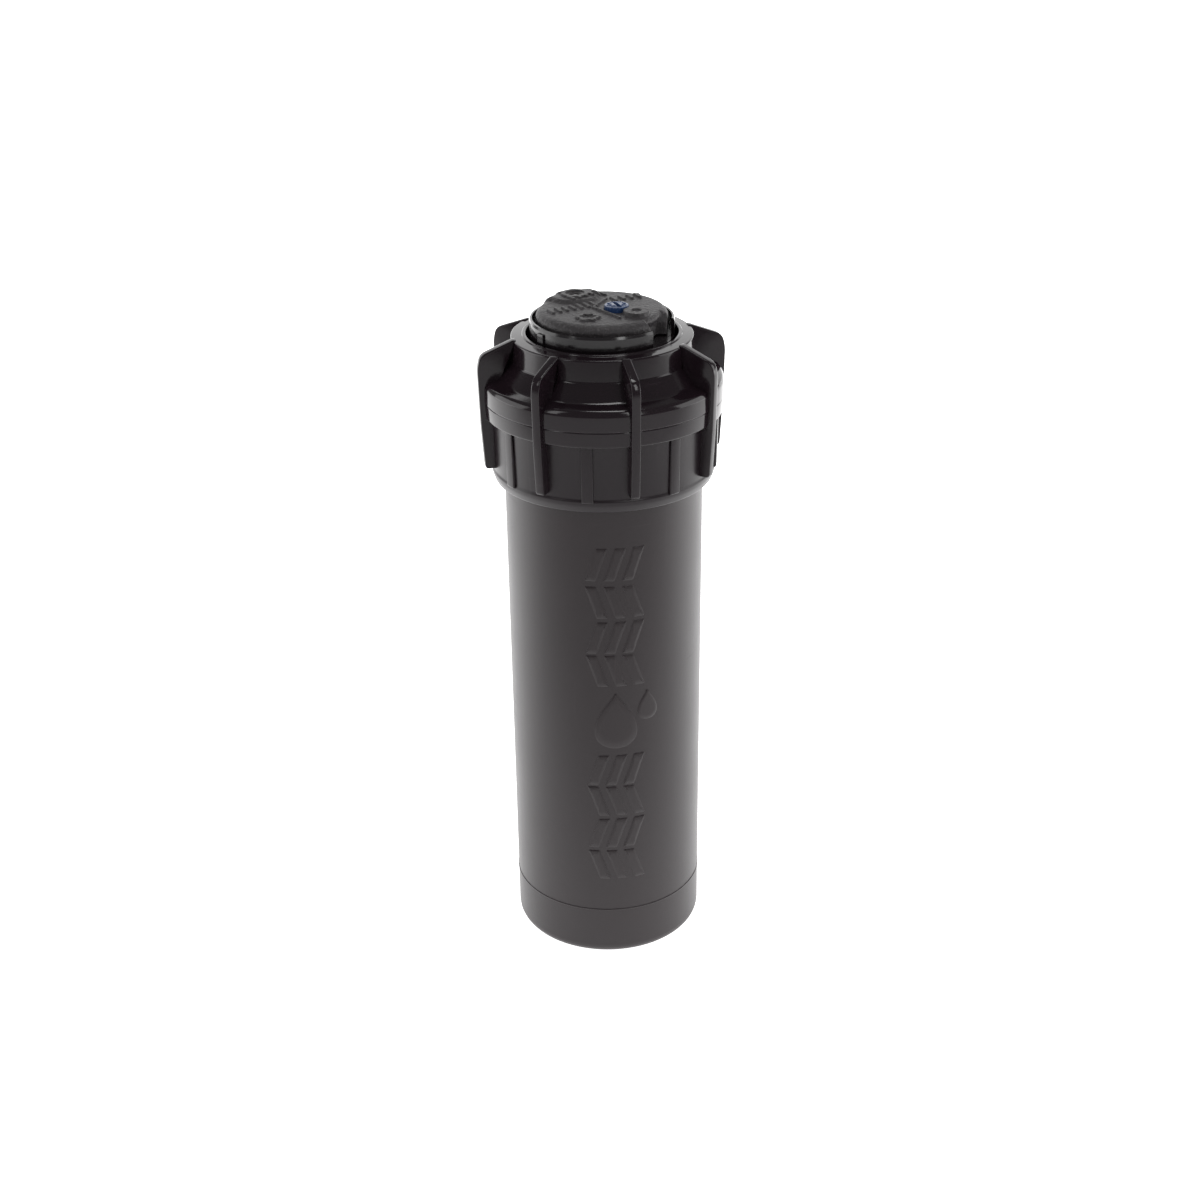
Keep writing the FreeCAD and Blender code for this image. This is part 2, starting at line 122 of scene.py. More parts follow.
class Graph:
    """A material's node tree, built from Python expressions."""

    def __init__(self, name: str) -> None:
        """Starts an empty material.

        Args:
            name: the material's name.
        """
        self.material = bpy.data.materials.new(name)
        self.material.use_nodes = True
        self.tree = self.material.node_tree
        self.tree.nodes.clear()
        self.place = self.node("ShaderNodeTexCoord", {}, {}, "Object")

    def node(self, kind: str, settings: dict, inputs: dict, output: Union[str, int] = 0) -> Value:
        """Adds a node.

        Args:
            kind: the node's type.
            settings: attributes, set before the inputs.
            inputs: values or links by socket name or number.
            output: the socket to return.
        Returns:
            One of the node's outputs.
        """
        made = self.tree.nodes.new(kind)
        for key, setting in settings.items():
            setattr(made, key, setting)
        for key, given in inputs.items():
            if isinstance(given, Value):
                self.tree.links.new(given.socket, made.inputs[key])
            else:
                made.inputs[key].default_value = given
        return Value(self, made.outputs[output])

    def stretched(self, x: float, y: float, z: float) -> Value:
        """Object coordinates scaled by axis. Args: x, y, z: the scales. Returns: a vector."""
        return self.node("ShaderNodeVectorMath", {"operation": "MULTIPLY"}, {0: self.place, 1: (x, y, z)})

    def noise(self, size_mm: float, detail: float = 2.0, at: Optional[Value] = None) -> Value:
        """Fractal noise. Args: size_mm: its grain; detail: octaves; at: coordinates. Returns: 0 to 1."""
        inputs = {"Vector": at or self.place, "Scale": 1 / (size_mm * MM), "Detail": detail, "Roughness": 0.6}
        return self.node("ShaderNodeTexNoise", {}, inputs)

    def cells(self, size_mm: float) -> Value:
        """Distance inside random cells. Args: size_mm: a cell's size. Returns: about 0 to 1."""
        return self.node("ShaderNodeTexVoronoi", {}, {"Vector": self.place, "Scale": 1 / (size_mm * MM)})

    def colour(self, share: Number, first: Union[Colour, Value], second: Colour) -> Value:
        """A blend of two colours. Args: share of the second, first, second. Returns: a colour."""
        start = first if isinstance(first, Value) else (*first, 1.0)
        return self.node("ShaderNodeMix", {"data_type": "RGBA"}, {0: share, 6: start, 7: (*second, 1.0)}, 2)

    def bump(self, height: Value, depth_mm: float, strength: float = 1.0,
             under: Optional[Value] = None) -> Value:
        """Relief from a height.

        Args:
            height: the height, about 0 to 1.
            depth_mm: what a height of 1 stands for.
            strength: the share of the relief that shows.
            under: an earlier relief that this one lies on.
        Returns:
            A normal.
        """
        inputs = {"Height": height, "Distance": depth_mm * MM, "Strength": strength}
        if under is not None:
            inputs["Normal"] = under
        return self.node("ShaderNodeBump", {}, inputs)

    def surface(self, inputs: dict) -> bpy.types.Material:
        """Closes the material with a Principled shader.

        Args:
            inputs: the shader's values or links by socket name.
        Returns:
            The material.
        """
        shader = self.node("ShaderNodeBsdfPrincipled", {}, inputs)
        out = self.tree.nodes.new("ShaderNodeOutputMaterial")
        self.tree.links.new(shader.socket, out.inputs["Surface"])
        return self.material


# ---- finishes -------------------------------------------------------------------------------------------


@dataclass(frozen=True)
class Plastic:
    """Moulded plastic: spark-eroded grain, flow bands, hair scratches and a little dust in the hollows."""

    name: str
    base: Colour
    light: Colour
    roughness: float
    grain_mm: float = 0.35
    depth_mm: float = 0.012
    scratches: float = 0.25
    coat: float = 0.0
    specular: float = 0.5
    satin_below: float = 0.0
    satin: float = 0.0

    def material(self) -> bpy.types.Material:
        """Builds the material.

        Returns:
            The material.
        """
        g = Graph(self.name)
        broad = g.noise(22.0, 3.0)
        flow = g.noise(9.0, 4.0, g.stretched(1.0, 1.0, 0.18))
        grain = g.noise(self.grain_mm, 2.0)
        pits = g.cells(self.grain_mm * 2.4)
        lines = g.noise(1.6, 2.0, g.stretched(1.0, 1.0, 0.03)).ramp(0.66, 0.72)
        cross = g.noise(1.9, 2.0, g.stretched(0.05, 0.05, 1.0)).ramp(0.68, 0.73)
        rubbed = (lines + cross) * g.noise(14.0, 2.0).ramp(0.42, 0.62) * self.scratches
        dust = g.noise(0.9, 5.0).ramp(0.60, 0.80) * broad.ramp(0.35, 0.75) * 0.22
        tone = g.colour(broad * 0.6 + flow * 0.4, self.base, self.light)
        worn = tuple(min(1.0, c * 2.2 + 0.02) for c in self.light)
        tone = g.colour(rubbed * 0.35 + dust * 0.25, tone, worn)
        rough = broad * 0.08 + grain * 0.10 + rubbed * 0.18 + dust * 0.3 + (self.roughness - 0.10)
        if self.satin:
            height = g.node("ShaderNodeSeparateXYZ", {}, {0: g.place}, "Z")
            low = (self.satin_below * MM - height).ramp(-0.0015, 0.0015)
            rough = rough + low * self.satin
        relief = g.bump(grain * 0.65 + pits * 0.35, self.depth_mm, 0.8)
        relief = g.bump(flow - rubbed * 0.4, self.depth_mm * 3.0, 0.25, relief)
        return g.surface({"Base Color": tone, "Roughness": rough, "Normal": relief, "Coat Weight": self.coat,
                          "Coat Roughness": 0.08, "Specular IOR Level": self.specular})


@dataclass(frozen=True)
class Rubber:
    """Moulded rubber: coarse granular skin with paler bloom on it."""

    name: str
    base: Colour
    bloom: Colour
    roughness: float
    grain_mm: float = 0.42
    depth_mm: float = 0.06

    def material(self) -> bpy.types.Material:
        """Builds the material.

        Returns:
            The material.
        """
        g = Graph(self.name)
        grain = g.noise(self.grain_mm, 3.0)
        coarse = g.noise(self.grain_mm * 3.4, 3.0)
        pits = g.cells(self.grain_mm * 1.7)
        broad = g.noise(8.0, 3.0)
        chalk = grain.ramp(0.52, 0.75) * broad.ramp(0.3, 0.7)
        tone = g.colour(chalk * 0.75 + coarse * 0.2, self.base, self.bloom)
        rough = broad * 0.12 + grain * 0.16 + (self.roughness - 0.14)
        relief = g.bump(grain * 0.6 + pits * 0.4, self.depth_mm, 0.9)
        relief = g.bump(coarse, self.depth_mm * 2.0, 0.35, relief)
        return g.surface({"Base Color": tone, "Roughness": rough, "Normal": relief,
                          "Specular IOR Level": 0.32})


@dataclass(frozen=True)
class Steel:
    """Drawn or ground steel: lengthwise lines, small stains and a polish that varies."""

    name: str
    base: Colour
    roughness: float
    line_mm: float = 0.25

    def material(self) -> bpy.types.Material:
        """Builds the material.

        Returns:
            The material.
        """
        g = Graph(self.name)
        lines = g.noise(self.line_mm, 3.0, g.stretched(1.0, 1.0, 0.06))
        stain = g.noise(3.5, 4.0).ramp(0.55, 0.8)
        grain = g.noise(self.line_mm * 0.6, 2.0)
        tone = g.colour(stain * 0.5 + lines * 0.2, self.base, tuple(c * 0.6 for c in self.base))
        rough = lines * 0.14 + stain * 0.2 + (self.roughness - 0.08)
        relief = g.bump(lines * 0.7 + grain * 0.3, 0.01, 0.6)
        return g.surface({"Base Color": tone, "Metallic": 1.0, "Roughness": rough, "Normal": relief})


# ---- surfaces -------------------------------------------------------------------------------------------


def step(x: Array) -> Array:
    """A smooth step from 0 to 1 as x goes from 0 to 1: 3x^2 - 2x^3. Args: x. Returns: the step."""
    t = np.clip(x, 0.0, 1.0)
    return t * t * (3.0 - 2.0 * t)


def polar(radius: Array, azimuth: Array, z: Array) -> Array:
    """Points from cylinder coordinates: x = r sin a, y = -r cos a.

    Args:
        radius: r, in millimetres.
        azimuth: a, in radians from the front.
        z: height.
    Returns:
        An array with x, y, z last.
    """
    radius, azimuth, z = np.broadcast_arrays(radius, azimuth, z)
    return np.stack([radius * np.sin(azimuth), -radius * np.cos(azimuth), z], axis=-1)


def around(count: int) -> Array:
    """Equal angles round a circle. Args: count. Returns: radians."""
    return np.arange(count) * (2.0 * math.pi / count)


def grid_faces(rows: int, columns: int, wrap_rows: bool, wrap_columns: bool) -> Array:
    """Quads of a grid of vertices stored row by row.

    Args:
        rows: number of rows.
        columns: vertices in a row.
        wrap_rows: whether the last row meets the first.
        wrap_columns: whether a row closes on itself.
    Returns:
        Vertex numbers, four to a face.
    """
    i = np.arange(rows if wrap_rows else rows - 1)[:, None]
    j = np.arange(columns if wrap_columns else columns - 1)[None, :]
    i2, j2 = (i + 1) % rows, (j + 1) % columns
    corners = [i * columns + j, i * columns + j2, i2 * columns + j2, i2 * columns + j]
    return np.stack(corners, axis=-1).reshape(-1, 4)


def rounded(corners: Sequence[tuple[float, float, float]], steps: int = 5, closed: bool = True) -> Array:
    """An outline with its corners softened: each corner P becomes the curve (1-t)^2 A + 2t(1-t) P + t^2 B,
    where A and B lie on its two edges.

    Args:
        corners: (x, y, size of the softening).
        steps: pieces in each curve.
        closed: whether the last corner joins the first; if not, the two ends stay sharp.
    Returns:
        Points (n, 2).
    """
    data = np.array(corners, float)
    point, size = data[:, :2], data[:, 2].copy()
    if not closed:
        size[[0, -1]] = 0.0
    before, after = np.roll(point, 1, axis=0) - point, np.roll(point, -1, axis=0) - point
    reach_a, reach_b = np.linalg.norm(before, axis=1), np.linalg.norm(after, axis=1)
    cut = np.minimum(size, 0.48 * np.minimum(reach_a, reach_b))
    a = point + before / reach_a[:, None] * cut[:, None]
    b = point + after / reach_b[:, None] * cut[:, None]
    t = np.linspace(0.0, 1.0, steps + 1)[None, :, None]
    curve = (1 - t) ** 2 * a[:, None] + 2 * t * (1 - t) * point[:, None] + t**2 * b[:, None]
    return curve.reshape(-1, 2)


def inset(outline: Array, distance: float) -> Array:
    """A closed outline moved inwards along its normals, each square to the line between its neighbours.

    Args:
        outline: points (n, 2).
        distance: how far they move.
    Returns:
        Points (n, 2).
    """
    tangent = np.roll(outline, -1, axis=0) - np.roll(outline, 1, axis=0)
    normal = np.stack([-tangent[:, 1], tangent[:, 0]], axis=1)
    normal /= np.maximum(np.linalg.norm(normal, axis=1, keepdims=True), 1e-9)
    x, y = outline[:, 0], outline[:, 1]
    area = np.sum(x * np.roll(y, -1) - y * np.roll(x, -1))
    return outline + normal * distance * (1.0 if area > 0 else -1.0)


@dataclass
class Surface:
    """Vertices and faces that are gathered into one mesh."""

    points: list[Array] = field(default_factory=list)
    faces: list[list[int]] = field(default_factory=list)
    count: int = 0

    def grid(self, points: Array, wrap_rows: bool = False, wrap_columns: bool = True) -> "Surface":
        """Adds a grid of points.

        Args:
            points: (rows, columns, 3).
            wrap_rows: whether the last row meets the first.
            wrap_columns: whether each row closes on itself.
        Returns:
            Itself.
        """
        rows, columns = points.shape[:2]
        quads = grid_faces(rows, columns, wrap_rows, wrap_columns) + self.count
        self.points.append(points.reshape(-1, 3))
        self.faces += quads.tolist()
        self.count += rows * columns
        return self

    def lid(self, start: int, size: int) -> "Surface":
        """Closes a ring of size vertices from start, counted from 0, with one face. Returns: itself."""
        self.faces.append(list(range(start, start + size)))
        return self

    def put(self, name: str, material: bpy.types.Material, body: Body, slot: str,
            crease: float = 32.0) -> bpy.types.Object:
        """Makes the object: welds coincident vertices, turns the faces outward and shades it smooth.

        Args:
            name: the piece's name.
            material: its finish.
            body: the group it rides on.
            slot: the record's material slot.
            crease: edges sharper than this many degrees stay sharp.
        Returns:
            The object.
        """
        mesh = bpy.data.meshes.new(name)
        mesh.from_pydata((np.concatenate(self.points) * MM).tolist(), [], self.faces)
        work = bmesh.new()
        work.from_mesh(mesh)
        bmesh.ops.remove_doubles(work, verts=work.verts, dist=2e-7)
        bmesh.ops.recalc_face_normals(work, faces=work.faces)
        work.to_mesh(mesh)
        work.free()
        mesh.shade_smooth()
        mesh.set_sharp_from_angle(angle=math.radians(crease))
        mesh.materials.append(material)
        piece = bpy.data.objects.new(name, mesh)
        bpy.context.scene.collection.objects.link(piece)
        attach(piece, body.value)
        LOG.info("%s: %d faces", name, len(mesh.polygons))
        return piece


def revolve(profile: Array, segments: int) -> Array:
    """A profile (r, z) turned about Z. Args: profile, segments. Returns: grid (n, segments, 3)."""
    return polar(profile[:, 0, None], around(segments)[None, :], profile[:, 1, None])


def slab(outline: Array, half: float, edge: float) -> Array:
    """Rings of a plate whose edges are rounded: at side s the outline is inset by edge (1 - sin q), and s is
    half - edge (1 - cos q).

    Args:
        outline: (u, v) points.
        half: half its thickness.
        edge: the rounding's radius.
    Returns:
        (rings, n, 3) with the side s, u and v last.
    """
    q = np.radians([0.0, 30.0, 60.0, 90.0])
    sides = np.concatenate([-(half - edge + edge * np.cos(q)), (half - edge + edge * np.cos(q))[::-1]])
    depth = np.concatenate([edge * (1 - np.sin(q)), (edge * (1 - np.sin(q)))[::-1]])
    rings = np.stack([inset(outline, d) for d in depth])
    side = np.broadcast_to(sides[:, None, None], rings.shape[:2] + (1,))
    return np.concatenate([side, rings], axis=2)


def stand(plate: Array, azimuth: float) -> Array:
    """Sets a plate upright in a radial plane: x = r sin a + s cos a, y = -r cos a + s sin a.

    Args:
        plate: points with the side s, r and z last.
        azimuth: a, in degrees.
    Returns:
        Points with x, y, z last.
    """
    a = math.radians(azimuth)
    s, r, z = plate[..., 0], plate[..., 1], plate[..., 2]
    return np.stack([r * math.sin(a) + s * math.cos(a), -r * math.cos(a) + s * math.sin(a), z], axis=-1)


# ---- assemblies -----------------------------------------------------------------------------------------


@dataclass
class ScrewCap:
    """The gloss cap: ring with a bead inside, neck, sloping shoulder, band, skirt, grip fins and low ribs."""

    fins: int = 8
    first_fin: float = 14.3
    fin_width: float = 2.35
    rib_width: float = 3.1
    segments: int = 240

    def profile(self) -> Array:
        """The cap's cross-section, from the ring's inside over the top, down and back up the bore.

        Returns:
            Points (r, z).
        """
        return rounded([
            (20.1, 172.0, 0.2), (20.1, 180.0, 0.3), (20.95, 180.0, 0.35), (21.2, 179.6, 0.1),
            (24.05, 179.45, 0.45), (24.45, 173.7, 0.35), (28.3, 169.6, 0.7), (31.6, 168.7, 0.7),
            (32.2, 167.4, 0.45), (32.3, 163.35, 0.15), (32.0, 163.15, 0.08), (32.15, 162.95, 0.12),
            (32.05, 159.0, 0.5), (30.35, 158.9, 0.35), (29.95, 144.1, 0.3), (30.25, 143.5, 0.25),
            (30.1, 142.4, 0.4), (29.45, 140.5, 0.4), (27.3, 140.5, 0.2), (27.3, 167.6, 0.2),
            (21.2, 167.6, 0.2)], 5)

    def fin_outline(self) -> Array:
        """A fin's face, from the ring's edge out over the shoulder and down to the skirt.

        Returns:
            Points (r, z).
        """
        return rounded([(23.4, 179.75, 0.1), (24.1, 179.75, 0.5), (32.9, 176.3, 2.2), (33.8, 172.8, 1.5),
                        (33.4, 158.0, 2.0), (32.6, 144.9, 0.9), (29.4, 144.9, 0.1), (29.4, 165.0, 0.1),
                        (23.4, 171.0, 0.1)], 5)

    def rib_outline(self) -> Array:
        """A low rib's face as (r, z). Returns: points."""
        return rounded([(29.2, 143.0, 0.1), (30.65, 143.4, 0.4), (30.9, 159.2, 0.1), (29.2, 159.2, 0.1)], 4)

    def plates(self, outline: Array, half: float, edge: float, first: float) -> Surface:
        """Equal plates round the cap.

        Args:
            outline: a plate's face as (r, z).
            half: half its thickness.
            edge: the radius of its rounded edges.
            first: the first plate's azimuth in degrees.
        Returns:
            The surface.
        """
        made, plate = Surface(), slab(outline, half, edge)
        rings, size = plate.shape[:2]
        for k in range(self.fins):
            start = made.count
            made.grid(stand(plate, first + 360.0 * k / self.fins))
            made.lid(start, size).lid(start + (rings - 1) * size, size)
        return made

    def build(self, finish: bpy.types.Material) -> None:
        """Makes the cap's three pieces.

        Args:
            finish: the gloss plastic.
        """
        shell = Surface().grid(revolve(self.profile(), self.segments), wrap_rows=True)
        shell_piece = shell.put("cap_shell", finish, Body.CASE, "cap_black", 40.0)
        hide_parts("case_cap")
        fins = self.plates(self.fin_outline(), self.fin_width / 2, 0.32, self.first_fin)
        fins.put("cap_fins", finish, Body.CASE, "cap_black", 40.0)
        ribs = self.plates(self.rib_outline(), self.rib_width / 2, 0.3, self.first_fin + 180.0 / self.fins)
        ribs.put("cap_low_ribs", finish, Body.CASE, "cap_black", 40.0)


@dataclass
class RubberCover:
    """The turret's cover, drawn as one height above its plan: a pad, a boss, rings, an arrow and bars. The pad,
    the boss and the screw's hole are each given as x, y and radius, and the rings by their centres.
    """

    radius: float = 17.3
    top: float = 186.3
    foot: float = 179.9
    pad: tuple[float, float, float] = (-7.3, 10.0, 7.6)
    boss: tuple[float, float, float] = (8.87, -6.33, 3.7)
    screw: tuple[float, float, float] = (3.81, -2.2, 3.3)
    port_azimuth: float = 62.0
    port_half: float = 20.0
    edge: float = 2.6
    drop: float = 1.9
    port_in: float = 2.1
    pad_height: float = 0.9
    pad_slope: float = 1.6
    boss_height: float = 1.1
    sag: float = 0.25
    mark_height: float = 0.5
    pad_ring: tuple[float, float] = (-7.1, 9.3)
    wavy_ring: tuple[float, float] = (-3.6, -9.2)
    screw_floor: float = 184.5
    bore: float = 13.9
    rings: int = 140
    segments: int = 480

    @staticmethod
    def bar(x: Array, y: Array, a: tuple[float, float], b: tuple[float, float], half: float,
            soft: float = 0.22) -> Array:
        """A raised bar: 1 where the distance to the segment a-b is under half, falling to 0 over soft.

        Args:
            x, y: the plan's coordinates.
            a, b: the segment's ends.
            half: half the bar's width.
            soft: the width of its slope.
        Returns:
            0 to 1.
        """
        dx, dy = b[0] - a[0], b[1] - a[1]
        along = np.clip(((x - a[0]) * dx + (y - a[1]) * dy) / (dx * dx + dy * dy), 0.0, 1.0)
        away = np.hypot(x - a[0] - along * dx, y - a[1] - along * dy)
        return step((half + soft - away) / soft)

    def marks(self, x: Array, y: Array) -> Array:
        """Raised rings, an arrow and rows of plain parallel bars. A ring is a step of its half width less the
        distance from its middle line, and the wavy one's radius is 2.35 + 0.35 cos 6a.

        Args:
            x, y: the plan's coordinates.
        Returns:
            Height in millimetres.
        """
        px, py = x - self.pad_ring[0], y - self.pad_ring[1]
        height = 0.6 * step((0.75 - np.abs(np.hypot(px, py) - 3.1)) / 0.3)
        gx, gy = x - self.wavy_ring[0], y - self.wavy_ring[1]
        turn = np.arctan2(gy, gx)
        height += 0.6 * step((0.75 - np.abs(np.hypot(gx, gy) - 2.35 - 0.35 * np.cos(6 * turn))) / 0.3)
        arrow = [(-2.2, -1.0), (4.6, -10.0)], [(-2.2, -1.0), (1.2, 7.0)]
        for a, b in arrow:
            height += self.mark_height * self.bar(x, y, a, b, 0.25)
        rows = (((-13.2, -3.6), (-2.2, 2.0), 7, 3.1), ((-8.0, 5.0), (0.2, 11.8), 6, 2.3),
                ((3.2, 6.6), (11.6, 11.0), 5, 3.0))
        for start, end, count, tall in rows:
            ux, uy = end[0] - start[0], end[1] - start[1]
            length = math.hypot(ux, uy)
            nx, ny = -uy / length * tall / 2, ux / length * tall / 2
            for k in range(count):
                t = k / (count - 1)
                cx, cy = start[0] + ux * t, start[1] + uy * t
                height += self.mark_height * self.bar(x, y, (cx - nx, cy - ny), (cx + nx, cy + ny), 0.36)
        return np.minimum(height, self.mark_height)

    def height(self, x: Array, y: Array) -> Array:
        """The top's height over its plan: the pad, the boss and the marks stand on a disc that sags with the
        square of the radius, and three round hollows are sunk into it.

        Args:
            x, y: the plan's coordinates.
        Returns:
            z.
        """
        away = np.hypot(x - self.pad[0], y - self.pad[1])
        raised = self.pad_height * step((self.pad[2] - away) / self.pad_slope)
        from_boss = np.hypot(x - self.boss[0], y - self.boss[1])
        boss = self.boss_height * step((self.boss[2] - from_boss) / 0.45)
        crown = -self.sag * (np.hypot(x, y) / self.radius) ** 2
        z = self.top + raised + boss + crown + self.marks(x, y) * (1 - step(boss))
        from_screw = np.hypot(x - self.screw[0], y - self.screw[1])
        z -= (z - self.screw_floor) * step((self.screw[2] + 0.15 - from_screw) / 0.3)
        z -= 0.45 * step((1.5 - from_boss) / 0.5)
        z -= 0.5 * step((1.7 - np.hypot(x - self.pad_ring[0], y - self.pad_ring[1])) / 0.5)
        return z

    def build(self, finish: bpy.types.Material) -> None:
        """Makes the cover: rings out over the top, round the edge, down the side and back under it. The side
        is drawn in over the port, more towards its foot.

        Args:
            finish: the rubber.
        """
        a = around(self.segments)[None, :]
        flat = np.sqrt(np.linspace(0.0, 1.0, self.rings))[:, None] ** 1.15 * (self.radius - self.edge)
        flat = np.broadcast_to(flat, (flat.shape[0], self.segments))
        x, y = flat * np.sin(a), -flat * np.cos(a)
        top = self.height(x, y)
        rim = top[-1]
        wrapped = np.abs((np.degrees(a) - self.port_azimuth + 180.0) % 360.0 - 180.0)
        q = np.linspace(0.0, math.pi / 2, 12)[1:, None]
        edge_z = rim[None, :] - self.drop * (1 - np.cos(q))
        edge_r = self.radius - self.edge * (1 - np.sin(q)) + np.zeros_like(a)
        down = np.linspace(0.0, 1.0, 12)[1:, None]
        side_z = (rim - self.drop)[None, :] * (1 - down) + self.foot * down
        side_r = self.radius - 0.2 * down + np.zeros_like(a)
        z = np.concatenate([top, edge_z, side_z])
        r = np.concatenate([flat, edge_r, side_r])
        depth = np.clip((self.top - z) / 3.0, 0.0, 1.0)
        port = step((self.port_half + 5.0 * (1 - depth) - 4.0 - wrapped) / 3.5)
        r = r - port * step((r - 14.0) / 2.5) * (0.5 + self.port_in * depth)
        under = rounded([(self.radius - 0.2, self.foot, 0.0), (self.bore, self.foot, 0.2),
                         (self.bore, 184.2, 0.3), (0.0, 184.2, 0.0)], 3, closed=False)[4:]
        low_r = np.minimum(under[:, :1] + np.zeros_like(a), r[-1:] - 0.3)
        r = np.concatenate([r, low_r])
        z = np.concatenate([z, under[:, 1:] + np.zeros_like(a)])
        piece = Surface().grid(polar(r, a, z)).put("cover_skin", finish, Body.TURRET, "cover_rubber", 60.0)
        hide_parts("top_cover")


@dataclass
class AdjustingScrew:
    """The blue arc screw: a domed head with a slot and small drive dimples, on a plain shaft."""

    x: float = 3.811
    y: float = -2.2
    radius: float = 3.12
    top: float = 187.75
    segments: int = 144

    def build(self, finish: bpy.types.Material) -> None:
        """Makes the screw: rings out over its head and down its side and shaft, with 24 waves on the head.

        Args:
            finish: the plastic.
        """
        a = around(self.segments)[None, :]
        flat = np.linspace(0.0, self.radius - 0.35, 36)[:, None] + np.zeros_like(a)
        x, y = flat * np.sin(a), -flat * np.cos(a)
        across, along = x * 0.94 + y * 0.34, y * 0.94 - x * 0.34
        slot = step((0.55 - np.abs(across)) / 0.12) * step((2.5 - np.abs(along)) / 0.15)
        dimples = step((0.5 - np.abs(np.hypot(x, y) - 2.05) - 0.25 * np.cos(8 * a)) / 0.3)
        top = self.top - 0.9 * slot - 0.35 * dimples * (1 - slot) - 0.25 * (flat / self.radius) ** 4
        rest = rounded([(self.radius - 0.35, self.top - 0.2, 0.0), (self.radius, self.top - 0.2, 0.35),
                        (self.radius, 184.6, 0.1), (1.1, 184.6, 0.1), (1.1, 143.5, 0.1),
                        (0.0, 143.5, 0.0)], 5, False)
        grip = 0.06 * np.cos(24 * a) * np.where(rest[:, :1] > 3.0, 1.0, 0.0)
        r = np.concatenate([flat, rest[:, :1] + grip])
        z = np.concatenate([top, rest[:, 1:] + np.zeros_like(a)])
        points = polar(r, a, z) + np.array([self.x, self.y, 0.0])
        piece = Surface().grid(points).put("arc_screw_head", finish, Body.ARC_KNOB, "screw_blue", 38.0)
        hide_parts("arc_screw")


@dataclass
class Spring:
    """A round-wire helix whose first and last part lie nearly flat: it climbs little where t is under 0.07 or
    over 0.93, and eases in and out between them.
    """

    name: str
    node: str
    joint: str
    body: Body
    radius: float
    wire: float
    low: float
    high: float
    turns: float
    travel: float
    centre: tuple[float, float] = (0.0, 0.0)
    sides: int = 12

    def build(self, finish: bpy.types.Material) -> None:
        """Makes the spring.

        Args:
            finish: the steel.
        """
        steps = int(48 * (self.turns + 2))
        t = np.linspace(0.0, 1.0, steps)
        angle = 2 * math.pi * (self.turns + 1.5) * t
        half = self.wire / 2
        rise = np.clip((t - 0.07) / 0.86, 0.0, 1.0)
        climb = 0.02 * t + 0.98 * (0.85 * rise + 0.15 * step(rise))
        z = self.low + half + (self.high - self.low - self.wire) * climb
        ring = around(self.sides)[:, None]
        r = self.radius + half * np.cos(ring)
        points = polar(r + 0 * z[None, :], angle[None, :], z[None, :] + half * np.sin(ring))
        points = np.swapaxes(points, 0, 1) + np.array([*self.centre, 0.0])
        made = Surface().grid(points)
        made.lid(0, self.sides).lid((steps - 1) * self.sides, self.sides)
        piece = made.put(self.name, finish, self.body, "spring_steel")
        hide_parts(self.node)
        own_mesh(piece)


@dataclass
class CaseRelief:
    """Low moulded marks on the case: drops and slanted bars in a column, and a witness line near the foot."""

    radius: float = 26.86
    azimuth: float = 5.4
    height: float = 0.17
    lean: float = 1.6
    spacing: float = 5.0

    @staticmethod
    def drop(tall: float, wide: float) -> Array:
        """A drop's outline: x = 0.62 wide sin q |sin(q/2)|^1.2, y = tall/2 cos q.

        Args:
            tall: its height.
            wide: about its width.
        Returns:
            Points (n, 2).
        """
        q = around(64)
        side = wide * 0.62 * np.sin(q) * np.abs(np.sin(q / 2)) ** 1.2
        return np.stack([side, tall / 2 * np.cos(q)], axis=1)

    @staticmethod
    def slant(tall: float, wide: float, lean: float) -> Array:
        """A slanted bar with soft corners.

        Args:
            tall: its height.
            wide: its width.
            lean: how far its top is moved right, and its foot left.
        Returns:
            Points (n, 2).
        """
        w, h = wide / 2, tall / 2
        corners = [(-w - lean, -h, 0.5), (w - lean, -h, 0.5), (w + lean, h, 0.5), (-w + lean, h, 0.5)]
        return rounded(corners, 6)

    def glyph(self, made: Surface, outline: Array, side: float, z: float) -> None:
        """Adds a raised mark that follows the case: its outline, the same lifted and inset, and rings that
        close it at the top and inside the wall.

        Args:
            made: the surface that it joins.
            outline: its points (n, 2).
            side: its centre's distance to the right, round the case.
            z: its centre's height.
        """
        shares = [(1.0, -0.06), (1.0, 0.0), (None, self.height), (0.7, self.height), (0.45, self.height),
                  (0.2, self.height), (0.0, self.height), (0.0, -0.5), (0.9, -0.5)]
        rings = [inset(outline, 0.42) if share is None else outline * max(share, 1e-6)
                 for share, _ in shares]
        flat = np.stack(rings)
        lift = np.array([rise for _, rise in shares])[:, None]
        angle = math.radians(self.azimuth) + (flat[..., 0] + side) / self.radius
        made.grid(polar(self.radius + lift + 0 * angle, angle, flat[..., 1] + z), wrap_rows=True)

    def build(self, finish: bpy.types.Material) -> None:
        """Makes the marks and the witness line.

        Args:
            finish: the case's plastic.
        """
        made = Surface()
        for row, z in enumerate((124.5, 113.5, 103.0, 93.0, 62.0, 52.0, 41.5, 31.0)):
            lean = -self.lean if row % 2 else self.lean
            for k in (-1, 0, 1):
                self.glyph(made, self.slant(9.4, 3.1, lean), self.spacing * k, z)
        self.glyph(made, self.drop(17.0, 13.0), 0.0, 77.5)
        self.glyph(made, self.drop(9.0, 6.4), 9.0, 81.5)
        made.put("case_relief", finish, Body.CASE, "case_black", 50.0)
        line = rounded([(26.5, 15.2, 0.0), (26.86, 15.3, 0.05), (26.9, 15.5, 0.08), (26.86, 15.7, 0.05),
                        (26.5, 15.8, 0.0)], 3)
        ring = Surface().grid(revolve(line, 220), wrap_rows=True)
        ring.put("case_witness_line", finish, Body.CASE, "case_black")


